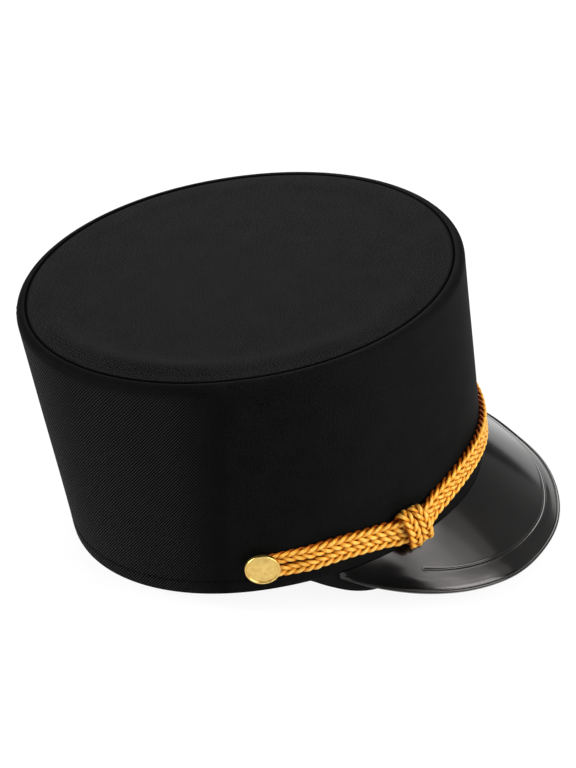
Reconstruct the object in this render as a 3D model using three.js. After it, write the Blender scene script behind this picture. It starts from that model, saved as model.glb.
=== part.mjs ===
// Train conductor hat standing on the edge of its visor and the back of its rim.
// Millimetres, +Z up, visor towards -Y, wearer's left towards +X.
import * as THREE from 'three';

const { degToRad, radToDeg, lerp, smoothstep } = THREE.MathUtils;

const GAP = 0.3;
const ROUND_STEPS = 72;

// The hat leans back on its rim: angle of the rim plane, and depth of cloth pressed flat there.
const REST = { tilt: degToRad(9.56), pressed: 0.7 };

// Ovals seen from above. Squareness is the exponent of a superellipse, egg the share by which
// the back is wider than the middle, forward the distance of the middle towards the visor.
const RIM = { halfLength: 104, halfWidth: 88.1, squareness: 2.03, egg: 0.055, forward: 0 };
const TOP = { halfLength: 107.9, halfWidth: 94.2, squareness: 2.04, egg: -0.006, forward: 2.3 };
const CROWN = { height: 122.6, rearRise: 0.035, wall: 2.4, shoulder: 4, turnIn: 5 };
const PANEL = { thickness: 2, dome: 2.2, edgeDrop: 0.9, rings: 5 };

// Sweatband: its lower edge over the rim, by angle from the front. It hangs low behind the visor.
const BAND = { thickness: 1, height: 34 };
const BAND_EDGE = [
  { angle: 0, edge: -21 },
  { angle: 40, edge: -21.5 },
  { angle: 60, edge: -22 },
  { angle: 67, edge: -20.5 },
  { angle: 73, edge: -16 },
  { angle: 79.5, edge: -8 },
  { angle: 85, edge: -0.5 },
  { angle: 92, edge: 2 },
  { angle: 180, edge: 2 },
];

// Visor: its root follows the rim from end to end, and the free edge of its outer face is set out
// as points of the standing hat, from the front middle to the last before the wearer's left end.
const VISOR = { endAngle: 76, endDepth: 3, thickness: 1.8, bulge: 0.02, steps: 44 };
const VISOR_EDGE = [
  { x: 0, y: -141.2, z: 1.18 },
  { x: 26.0, y: -137.6, z: 1.28 },
  { x: 49.2, y: -126.6, z: 1.7 },
  { x: 69.5, y: -110.6, z: 3.9 },
  { x: 82.0, y: -88.0, z: 5.9 },
  { x: 87.2, y: -63.6, z: 9.0 },
  { x: 86.3, y: -40.0, z: 12.9 },
];
const BEAD = { width: 1.5, rise: 0.5 };
// Engraved line: distance in from the free edge, by share of the way from the front to an end.
const LINE = { width: 1.5, depth: 0.6, endShare: 0.707 };
const LINE_INSET = [
  { share: 0, inset: 11.2 },
  { share: 0.15, inset: 10.9 },
  { share: 0.28, inset: 11.3 },
  { share: 0.42, inset: 12.2 },
  { share: 0.6, inset: 12.1 },
  { share: 1, inset: 12.0 },
];

const BRAID = { plait: 7, thickness: 4, endThickness: 2.2, endAngle: 93.2, steps: 76 };
// Height of the braid's middle over the rim, by angle from the front.
const BRAID_HEIGHT = [
  { angle: 0, height: 18.5 },
  { angle: 10, height: 18.9 },
  { angle: 18, height: 19.7 },
  { angle: 26, height: 19.7 },
  { angle: 33, height: 18.8 },
  { angle: 39, height: 17.2 },
  { angle: 45, height: 15.0 },
  { angle: 54, height: 12.2 },
  { angle: 60, height: 13.1 },
  { angle: 66, height: 14.7 },
  { angle: 72, height: 16.2 },
  { angle: 78, height: 16.7 },
  { angle: 86, height: 16.1 },
  { angle: 100, height: 16.3 },
];
// One half of the braid's outline: up in plait widths, out from the cloth in thicknesses.
const BRAID_SECTION = [
  { up: 0.2, out: 0.88 },
  { up: 0.5, out: 1 },
  { up: 0.8, out: 0.85 },
  { up: 1, out: 0.45 },
  { up: 0.92, out: 0.1 },
  { up: 0.5, out: 0 },
];
const KNOT = { angle: 54, length: 13.6, wall: 3.1, swell: 1.4, back: 1.5, rings: 9, steps: 20 };
const KNOT_BOW = { full: 4, none: 10 };
const BUTTON = { angle: 94.9, height: 17, radius: 8.5, back: 2.9, edge: 1.5, dome: 2.1, shank: 2.2 };

const FINISHES = {
  twill: new THREE.MeshStandardMaterial({ color: 0x1d1d1d, roughness: 0.9, metalness: 0 }),
  panel: new THREE.MeshStandardMaterial({ color: 0x272626, roughness: 0.85, metalness: 0 }),
  band: new THREE.MeshStandardMaterial({ color: 0x141414, roughness: 0.95, metalness: 0 }),
  visor: new THREE.MeshStandardMaterial({ color: 0x101010, roughness: 0.15, metalness: 0 }),
  braid: new THREE.MeshStandardMaterial({ color: 0xca8832, roughness: 0.5, metalness: 0.4 }),
  button: new THREE.MeshStandardMaterial({ color: 0xe3bf6d, roughness: 0.25, metalness: 1 }),
};

/** Value of a table's column at a place along its key column, on a smooth curve. */
function along(table, key, column, place) {
  const places = table.map((row) => row[key]);
  const values = table.map((row) => row[column]);
  return new THREE.CubicInterpolant(places, values, 1).evaluate(place)[0];
}

/** Point of an oval at an angle from the front. */
function ovalPoint(oval, angle) {
  const power = 2 / oval.squareness;
  const side = Math.sin(angle);
  const back = -Math.cos(angle);
  const y = Math.sign(back) * Math.abs(back) ** power;
  const x = Math.sign(side) * Math.abs(side) ** power * (1 + oval.egg * y);
  return new THREE.Vector2(x * oval.halfWidth, y * oval.halfLength - oval.forward);
}

/** Outward direction of an oval at an angle from the front. */
function ovalNormal(oval, angle) {
  const step = 0.01;
  const run = ovalPoint(oval, angle + step).sub(ovalPoint(oval, angle - step)).normalize();
  return new THREE.Vector2(run.y, -run.x);
}

/** Height of the crown over the rim at an angle from the front. */
function crownHeight(angle) {
  return CROWN.height + CROWN.rearRise * (ovalPoint(TOP, angle).y + TOP.forward);
}

/** Point of the crown wall at a height over the rim, an inset in from the outer cloth. */
function wallPoint(angle, height, inset) {
  const low = ovalPoint(RIM, angle).addScaledVector(ovalNormal(RIM, angle), -inset);
  const high = ovalPoint(TOP, angle).addScaledVector(ovalNormal(TOP, angle), -inset);
  const plan = low.lerp(high, height / crownHeight(angle));
  return new THREE.Vector3(plan.x, plan.y, height);
}

/** Group in which the rim is level, turned and set down so that the hat leans on its back. */
function leaningGroup() {
  const { tilt, pressed } = REST;
  const group = new THREE.Group();
  group.rotation.x = -tilt;
  group.position.y = RIM.halfLength * (1 - Math.cos(tilt));
  group.position.z = RIM.halfLength * Math.sin(tilt) - pressed;
  group.updateMatrix();
  return group;
}

/** Keeps a point of soft cloth on or above the surface the hat stands on. */
function pressFlat(point, leaning) {
  const placed = point.applyMatrix4(leaning.matrix);
  placed.z = Math.max(placed.z, 0);
  return placed.applyMatrix4(leaning.matrix.clone().invert());
}

/** Closed mesh from rows of points: each row is a ring, and the rows meet or get end caps. */
function loft(name, finish, rows, { meet }) {
  const columns = rows[0].length;
  const points = rows.flat();
  const faces = [];
  const bands = meet ? rows.length : rows.length - 1;
  for (let i = 0; i < bands; i += 1) {
    const here = i * columns;
    const next = ((i + 1) % rows.length) * columns;
    for (let j = 0; j < columns; j += 1) {
      const k = (j + 1) % columns;
      faces.push(here + j, here + k, next + k, here + j, next + k, next + j);
    }
  }
  if (!meet) {
    addCap(points, faces, 0, columns, -1);
    addCap(points, faces, (rows.length - 1) * columns, columns, 1);
  }
  return meshOf(name, finish, points, faces);
}

/** Closes an end row of a loft with a fan about its middle. */
function addCap(points, faces, start, columns, turn) {
  const row = points.slice(start, start + columns);
  const middle = row.reduce((sum, point) => sum.add(point), new THREE.Vector3());
  const centre = points.push(middle.divideScalar(columns)) - 1;
  for (let j = 0; j < columns; j += 1) {
    const edge = [start + j, start + ((j + 1) % columns)];
    faces.push(...(turn > 0 ? edge : edge.reverse()), centre);
  }
}

/** Named mesh with its faces turned outwards. */
function meshOf(name, finish, points, faces) {
  let volume = 0;
  for (let i = 0; i < faces.length; i += 3) {
    const [a, b, c] = faces.slice(i, i + 3).map((corner) => points[corner]);
    volume += a.dot(new THREE.Vector3().crossVectors(b, c));
  }
  const geometry = new THREE.BufferGeometry().setFromPoints(points);
  geometry.setIndex(volume < 0 ? faces.reverse() : faces);
  geometry.computeVertexNormals();
  const mesh = new THREE.Mesh(geometry, FINISHES[finish]);
  mesh.name = name;
  return mesh;
}

/** Angles right round the hat. */
function roundAngles() {
  return Array.from({ length: ROUND_STEPS }, (_, i) => (i / ROUND_STEPS) * 2 * Math.PI);
}

/** Side wall: hem, outer cloth, rounded shoulder, turned-in top and inner face. */
function crownSide(leaning) {
  const { wall, shoulder, turnIn } = CROWN;
  const hem = 0.7;
  const rows = roundAngles().map((angle) => {
    const top = crownHeight(angle);
    const shoulderArc = [0, 22.5, 45, 67.5, 90].map(degToRad).map((turn) => ({
      height: top - shoulder * (1 - Math.sin(turn)),
      inset: shoulder * (1 - Math.cos(turn)),
    }));
    const section = [
      { height: 0, inset: hem },
      { height: hem, inset: 0 },
      { height: top * 0.35, inset: 0 },
      { height: top * 0.7, inset: 0 },
      ...shoulderArc,
      { height: top - 0.1, inset: turnIn },
      { height: top - wall, inset: turnIn },
      { height: top - wall - 1.2, inset: wall + 0.6 },
      { height: top - wall - 3, inset: wall },
      { height: top * 0.5, inset: wall },
      { height: hem, inset: wall },
      { height: 0, inset: wall - hem },
    ];
    return section.map((spot) => pressFlat(wallPoint(angle, spot.height, spot.inset), leaning));
  });
  return loft('crown_side', 'twill', rows, { meet: true });
}

/** Top panel: a thin domed sheet inside the turned-in shoulder. */
function crownTop() {
  const angles = roundAngles();
  const ring = (share, lower) => angles.map((angle) => {
    const rim = wallPoint(angle, crownHeight(angle), CROWN.turnIn + GAP);
    const x = rim.x * share;
    const y = lerp(-TOP.forward, rim.y, share);
    const dome = PANEL.dome * (1 - share ** 2) - PANEL.edgeDrop * smoothstep(share, 0.9, 1);
    const level = CROWN.height + CROWN.rearRise * (y + TOP.forward);
    return new THREE.Vector3(x, y, level + dome - lower);
  });
  const shares = Array.from({ length: PANEL.rings }, (_, i) => Math.sqrt((i + 1) / PANEL.rings));
  const upper = shares.map((share) => ring(share, 0));
  const under = shares.toReversed().map((share) => ring(share, PANEL.thickness));
  return loft('crown_top', 'panel', [...upper, ...under], { meet: false });
}

/** Sweatband: a thin ring lining the foot of the crown. */
function sweatband() {
  const outer = CROWN.wall + GAP;
  const inner = outer + BAND.thickness;
  const rows = roundAngles().map((angle) => {
    const degrees = radToDeg(Math.acos(Math.cos(angle)));
    const low = along(BAND_EDGE, 'angle', 'edge', degrees);
    const levels = [low, low + BAND.height / 2, low + BAND.height];
    return [
      ...levels.map((height) => wallPoint(angle, height, outer)),
      ...levels.toReversed().map((height) => wallPoint(angle, height, inner)),
    ];
  });
  return loft('sweatband', 'band', rows, { meet: true });
}

/** Root of the visor under the crown wall, by share from the front (0) to an end (-1 or 1). */
function visorRoot(share, leaning) {
  const angle = share * degToRad(VISOR.endAngle);
  const inset = (CROWN.wall - VISOR.thickness) / 2;
  return wallPoint(angle, -GAP, inset).applyMatrix4(leaning.matrix);
}

/** Smooth curve along the free edge from the wearer's right end to the left one. */
function visorEdge(leaning) {
  const end = visorRoot(1, leaning).add(new THREE.Vector3(0.3, -0.5, -VISOR.endDepth));
  const left = VISOR_EDGE.map(({ x, y, z }) => new THREE.Vector3(x, y, z));
  left.push(end);
  const right = left.slice(1).map((point) => new THREE.Vector3(-point.x, point.y, point.z));
  return new THREE.CatmullRomCurve3([...right.reverse(), ...left], false, 'centripetal');
}

/** Outer face of the visor by share from end to end (-1 to 1) and depth from root to edge. */
function visorFace(share, depth, edge, leaning) {
  const root = visorRoot(share, leaning);
  const reach = edge.getPoint((share + 1) / 2).sub(root);
  const out = new THREE.Vector3().crossVectors(reach, edge.getTangent((share + 1) / 2)).normalize();
  const lift = VISOR.bulge * reach.length() * 4 * depth * (1 - depth);
  return root.addScaledVector(reach, depth).addScaledVector(out, lift);
}

/** Outward direction of the visor's outer face. */
function visorNormal(share, depth, edge, leaning) {
  const step = 0.02;
  const middle = THREE.MathUtils.clamp(share, step - 1, 1 - step);
  const face = (s, d) => visorFace(s, d, edge, leaning);
  const across = face(middle + step, depth).sub(face(middle - step, depth));
  const down = face(middle, 1).sub(face(middle, 0));
  return down.cross(across).normalize();
}

/** Visor: one moulded sheet with a beaded edge and an engraved line along it. */
function visor(leaning) {
  const edge = visorEdge(leaning);
  const spread = Math.PI * 0.42;
  const rows = Array.from({ length: VISOR.steps + 1 }, (_, i) => {
    const share = Math.sin(((i / VISOR.steps) * 2 - 1) * spread) / Math.sin(spread);
    const reach = visorFace(share, 0, edge, leaning).distanceTo(visorFace(share, 1, edge, leaning));
    const narrow = Math.min(1, reach / 24);
    const line = along(LINE_INSET, 'share', 'inset', Math.abs(share)) * narrow;
    const half = (LINE.width / 2) * narrow;
    const ending = smoothstep(Math.abs(share), LINE.endShare - 0.04, LINE.endShare);
    const bead = BEAD.width * narrow;
    const section = [
      { from: reach, over: 0 },
      { from: (reach + line + half) / 2, over: 0 },
      { from: line + half, over: 0 },
      { from: line, over: LINE.depth * (ending - 1) },
      { from: line - half, over: 0 },
      { from: (line + bead) / 2, over: 0 },
      { from: bead, over: 0 },
      { from: bead * 0.7, over: BEAD.rise * narrow },
      { from: bead * 0.25, over: BEAD.rise * narrow },
      { from: 0, over: -0.2 },
      { from: 0, over: 0.3 - VISOR.thickness },
      { from: 0.4 * narrow, over: -VISOR.thickness },
      { from: line, over: -VISOR.thickness },
      { from: reach, over: -VISOR.thickness },
    ];
    return section.map(({ from, over }) => {
      const depth = 1 - from / reach;
      const out = visorNormal(share, depth, edge, leaning);
      return visorFace(share, depth, edge, leaning).addScaledVector(out, over);
    });
  });
  return loft('visor', 'visor', rows, { meet: false });
}

/** Braid's back face at an angle: height of its middle and distance off the cloth. */
function braidPath(angle) {
  const degrees = radToDeg(Math.abs(angle));
  const height = along(BRAID_HEIGHT, 'angle', 'height', degrees);
  const bow = 1 - smoothstep(Math.abs(degrees - KNOT.angle), KNOT_BOW.full, KNOT_BOW.none);
  return { height, off: GAP + bow * (KNOT.back + GAP) };
}

/** Gold braid: two plaits side by side, from button to button across the front. */
function braid() {
  const { plait, thickness, endThickness, endAngle, steps } = BRAID;
  const lower = BRAID_SECTION.toReversed().map(({ up, out }) => ({ up: -up, out }));
  const section = [{ up: 0, out: 0.62 }, ...BRAID_SECTION, ...lower];
  const rows = Array.from({ length: steps + 1 }, (_, i) => {
    const angle = degToRad(((i / steps) * 2 - 1) * endAngle);
    const toEnd = endAngle - radToDeg(Math.abs(angle));
    const thick = lerp(endThickness, thickness, smoothstep(toEnd, 6, 11));
    const wide = plait * lerp(0.93, 1, smoothstep(toEnd, 0, 6));
    const { height, off } = braidPath(angle);
    return section.map(({ up, out }) => wallPoint(angle, height + up * wide, -off - out * thick));
  });
  return loft('braid', 'braid', rows, { meet: false });
}

/** Slide knot: cord wound round the braid, as one swelling sleeve. */
function knot(name, side) {
  const tall = BRAID.plait + GAP;
  const deep = BRAID.thickness / 2 + GAP;
  const middle = GAP + KNOT.back + deep;
  const round = (value, power) => Math.sign(value) * Math.abs(value) ** power;
  const sleeve = (shift, wall, power) => {
    const angle = side * (degToRad(KNOT.angle) + shift / RIM.halfLength);
    const { height } = braidPath(angle);
    return Array.from({ length: KNOT.steps }, (_, i) => {
      const turn = ((i + 0.5) / KNOT.steps) * 2 * Math.PI;
      const up = round(Math.cos(turn), power) * (tall + wall);
      const behind = Math.sin(turn) < 0;
      const out = round(Math.sin(turn), power) * (deep + (behind ? Math.min(wall, KNOT.back) : wall));
      return wallPoint(angle, height + up, -middle - out);
    });
  };
  const slices = Array.from({ length: KNOT.rings }, (_, i) => (i / (KNOT.rings - 1)) * 2 - 1);
  const outside = slices.map((across) => {
    const wall = KNOT.wall * Math.sqrt(1 - 0.75 * across ** 2) + KNOT.swell * (1 - across ** 2);
    return sleeve((across * KNOT.length) / 2, wall, 0.7);
  });
  const inside = slices.toReversed().map((across) => sleeve((across * KNOT.length) / 2, 0, 0.5));
  return loft(name, 'braid', [...outside, ...inside], { meet: true });
}

/** Button: shank, flat back, raised rim and a plain dome, turned about its own axis. */
function button(name, side) {
  const { radius, back, edge, dome, shank } = BUTTON;
  const profile = [
    { r: 0, out: 0 },
    { r: shank, out: 0 },
    { r: shank, out: back },
    { r: radius - 0.5, out: back },
    { r: radius, out: back + 0.5 },
    { r: radius, out: back + edge },
    { r: radius - 0.5, out: back + edge + 0.4 },
    { r: radius - 1.1, out: back + edge + 0.1 },
    { r: radius * 0.62, out: back + edge + dome * 0.6 },
    { r: radius * 0.3, out: back + edge + dome * 0.93 },
    { r: 0, out: back + edge + dome },
  ];
  const outline = profile.map(({ r, out }) => new THREE.Vector2(r, out));
  const mesh = new THREE.Mesh(new THREE.LatheGeometry(outline, 28), FINISHES.button);
  const angle = side * degToRad(BUTTON.angle);
  const step = 0.01;
  const seat = wallPoint(angle, BUTTON.height, -GAP);
  const above = wallPoint(angle, BUTTON.height + 1, -GAP).sub(seat);
  const run = wallPoint(angle + step, BUTTON.height, 0).sub(wallPoint(angle - step, BUTTON.height, 0));
  mesh.name = name;
  mesh.position.copy(seat);
  mesh.quaternion.setFromUnitVectors(new THREE.Vector3(0, 1, 0), run.cross(above).normalize());
  return mesh;
}

/** The whole hat, placed so that the middle of its box's base is the origin. */
function hat() {
  const leaning = leaningGroup();
  leaning.add(crownSide(leaning), crownTop(), sweatband(), braid());
  leaning.add(knot('braid_knot_left', 1), knot('braid_knot_right', -1));
  leaning.add(button('button_left', 1), button('button_right', -1));
  const group = new THREE.Group();
  group.name = 'train_conductor_hat';
  group.add(leaning, visor(leaning));
  group.updateMatrixWorld(true);
  const box = new THREE.Box3().setFromObject(group, true);
  group.position.y = -(box.min.y + box.max.y) / 2;
  group.position.z = -box.min.z;
  return group;
}

export default hat();
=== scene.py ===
"""Train conductor hat: black twill crown, glossy visor, gold braid with two knots and two buttons.

Metres, +Z up, visor towards -Y, wearer's left towards +X. The hat leans back on its rim, so its
pieces are set out over a level rim first and then stood up on the floor.
"""

import logging
import math
from collections.abc import Callable, Sequence
from dataclasses import dataclass
from enum import Enum

import bpy
import numpy as np
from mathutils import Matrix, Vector


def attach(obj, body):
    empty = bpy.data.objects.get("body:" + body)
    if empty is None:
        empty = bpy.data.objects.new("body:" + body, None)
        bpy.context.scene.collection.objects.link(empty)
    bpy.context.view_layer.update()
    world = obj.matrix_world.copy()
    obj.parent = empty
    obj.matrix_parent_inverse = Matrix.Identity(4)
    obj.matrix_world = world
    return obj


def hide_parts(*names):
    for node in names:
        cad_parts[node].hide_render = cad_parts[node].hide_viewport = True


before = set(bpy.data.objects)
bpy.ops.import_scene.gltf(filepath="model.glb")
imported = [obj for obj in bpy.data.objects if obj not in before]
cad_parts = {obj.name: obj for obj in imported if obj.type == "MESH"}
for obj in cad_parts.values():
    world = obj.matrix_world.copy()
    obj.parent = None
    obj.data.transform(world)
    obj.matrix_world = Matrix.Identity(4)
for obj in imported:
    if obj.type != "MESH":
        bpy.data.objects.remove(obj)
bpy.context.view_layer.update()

LOG = logging.getLogger("hat")
MM = 0.001
GAP = 0.3 * MM
STEP = 0.01
WAVE_PERIOD = math.tau / 20
SMOOTH_ANGLE = math.radians(50)
Array = np.ndarray
Piece = bpy.types.Object
Material = bpy.types.Material
Socket = bpy.types.NodeSocket
Span = tuple[float, float]
Triple = tuple[float, float, float]
Row = tuple[float, ...]
Rows = tuple[Span, ...]


class Side(Enum):
    """The wearer's two sides, as the sign of X."""

    LEFT = 1
    RIGHT = -1


class Slot(Enum):
    """Material slots of the part's record."""

    TWILL = "twill"
    PANEL = "panel"
    BAND = "band"
    VISOR = "visor"
    BRAID = "braid"
    BUTTON = "button"


def ease(values: Array, low: float, high: float) -> Array:
    """Smooth step of values from 0 at low to 1 at high."""
    share = np.clip((values - low) / (high - low), 0.0, 1.0)
    return share * share * (3.0 - 2.0 * share)


def hump(values: Array, middle: float, width: float) -> Array:
    """Bell curve of height 1 about a middle value."""
    return np.exp(-(((values - middle) / width) ** 2))


def unit(vectors: Array) -> Array:
    """Vectors scaled to length 1."""
    return vectors / np.linalg.norm(vectors, axis=-1, keepdims=True)


def lengths(points: Array) -> Array:
    """Distances run along a line of points, from 0 at the first."""
    legs = np.linalg.norm(np.diff(points, axis=0), axis=-1)
    return np.concatenate([[0], np.cumsum(legs)])


@dataclass(frozen=True)
class Ridge:
    """Soft ridge over a surface, or a furrow where its rise is negative."""

    middle: float
    width: float
    rise: float

    def at(self, places: Array) -> Array:
        """Height of the ridge at places, which are in the units of its middle."""
        return self.rise * hump(places, self.middle, self.width)


@dataclass(frozen=True)
class Ripple:
    """Waves round the crown, whose phase may slant with height in millimetres."""

    rise: float
    waves: int
    phase: float = 0.0
    slant: float = 0.0

    def at(self, angles: Array, high: Array | float = 0.0) -> Array:
        """Height of the waves by angle from the front and height over the rim."""
        return self.rise * np.sin(self.waves * angles + self.phase + self.slant * high)


@dataclass(frozen=True)
class Table:
    """Values set out at places, joined by a smooth curve."""

    rows: Rows

    def at(self, places: Array) -> Array:
        """Read the curve.

        Args:
            places: Where to read it; places past an end take the end's value.

        Returns:
            One value for each place.
        """
        x, y = np.array(self.rows, float).T
        slope = np.diff(y) / np.diff(x)
        lean = np.concatenate([slope[:1], (slope[1:] + slope[:-1]) / 2, slope[-1:]])
        spot = np.clip(places, x[0], x[-1])
        i = np.clip(np.searchsorted(x, spot) - 1, 0, len(x) - 2)
        span = x[i + 1] - x[i]
        t = (spot - x[i]) / span
        from_start = (1 + 2 * t) * (1 - t) ** 2 * y[i] + t * (1 - t) ** 2 * span * lean[i]
        from_end = t * t * (3 - 2 * t) * y[i + 1] + t * t * (t - 1) * span * lean[i + 1]
        return from_start + from_end


@dataclass(frozen=True)
class Stance:
    """How the hat leans back on the heel of its rim, and where it stands."""

    tilt: float = math.radians(9.56)
    heel: float = 104 * MM
    pressed: float = 0.7 * MM
    back: float = 7.692 * MM

    def stand(self, points: Array) -> Array:
        """Lean the hat back.

        Args:
            points: Points of the level hat.

        Returns:
            The same points on the leaning hat.
        """
        cos, sin = math.cos(self.tilt), math.sin(self.tilt)
        x, y, z = np.moveaxis(points, -1, 0)
        leaning_y = self.heel * (1 - cos) + y * cos + z * sin + self.back
        leaning_z = self.heel * sin - self.pressed - y * sin + z * cos
        return np.stack([x, leaning_y, leaning_z], axis=-1)

    def press(self, points: Array) -> Array:
        """Points of soft cloth on the leaning hat, flattened where they would go under the floor."""
        return np.maximum(self.stand(points), (-math.inf, -math.inf, 0.0))


@dataclass(frozen=True)
class Oval:
    """Level outline of the crown: an egg-shaped superellipse."""

    half_length: float
    half_width: float
    squareness: float
    egg: float
    forward: float

    def points(self, angles: Array) -> Array:
        """Set out the outline.

        Args:
            angles: Angles from the front, positive to the wearer's left.

        Returns:
            X and Y at each angle.
        """
        power = 2.0 / self.squareness
        side, back = np.sin(angles), -np.cos(angles)
        y = np.sign(back) * np.abs(back) ** power
        x = np.sign(side) * np.abs(side) ** power * (1.0 + self.egg * y)
        return np.stack([x * self.half_width, y * self.half_length - self.forward], axis=-1)

    def normals(self, angles: Array) -> Array:
        """Outward directions at angles from the front."""
        run = unit(self.points(angles + STEP) - self.points(angles - STEP))
        return np.stack([run[..., 1], -run[..., 0]], axis=-1)


@dataclass(frozen=True)
class CrownForm:
    """The crown's block: the wall between the rim and the top outline."""

    rim: Oval = Oval(104 * MM, 88.1 * MM, 2.03, 0.055, 0.0)
    top: Oval = Oval(107.9 * MM, 94.2 * MM, 2.04, -0.006, 2.3 * MM)
    height: float = 122.6 * MM
    rear_rise: float = 0.035
    wall: float = 2.4 * MM
    shoulder: float = 4 * MM
    turn_in: float = 5 * MM

    def level(self, y: Array) -> Array:
        """Height of the crown over the rim at places along Y."""
        return self.height + self.rear_rise * (y + self.top.forward)

    def heights(self, angles: Array) -> Array:
        """Height of the crown over the rim at angles from the front."""
        return self.level(self.top.points(angles)[..., 1])

    def on_wall(self, angles: Array, heights: Array, insets: Array) -> Array:
        """Points of the wall.

        Args:
            angles: Angles from the front.
            heights: Heights over the rim.
            insets: Distances in from the outer cloth, negative when proud of it.

        Returns:
            Points of the level hat, with a last axis of three.
        """
        angles, heights, insets = np.broadcast_arrays(angles, heights, insets)
        inward = insets[..., None]
        low = self.rim.points(angles) - self.rim.normals(angles) * inward
        high = self.top.points(angles) - self.top.normals(angles) * inward
        plan = low + (high - low) * (heights / self.heights(angles))[..., None]
        return np.concatenate([plan, heights[..., None]], axis=-1)


STANCE = Stance()
FORM = CrownForm()


def on_hat(angles: Array, heights: Array, insets: Array) -> Array:
    """Points of the leaning hat's wall, by angle, height over the rim and inset."""
    return STANCE.stand(FORM.on_wall(angles, heights, insets))


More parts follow.
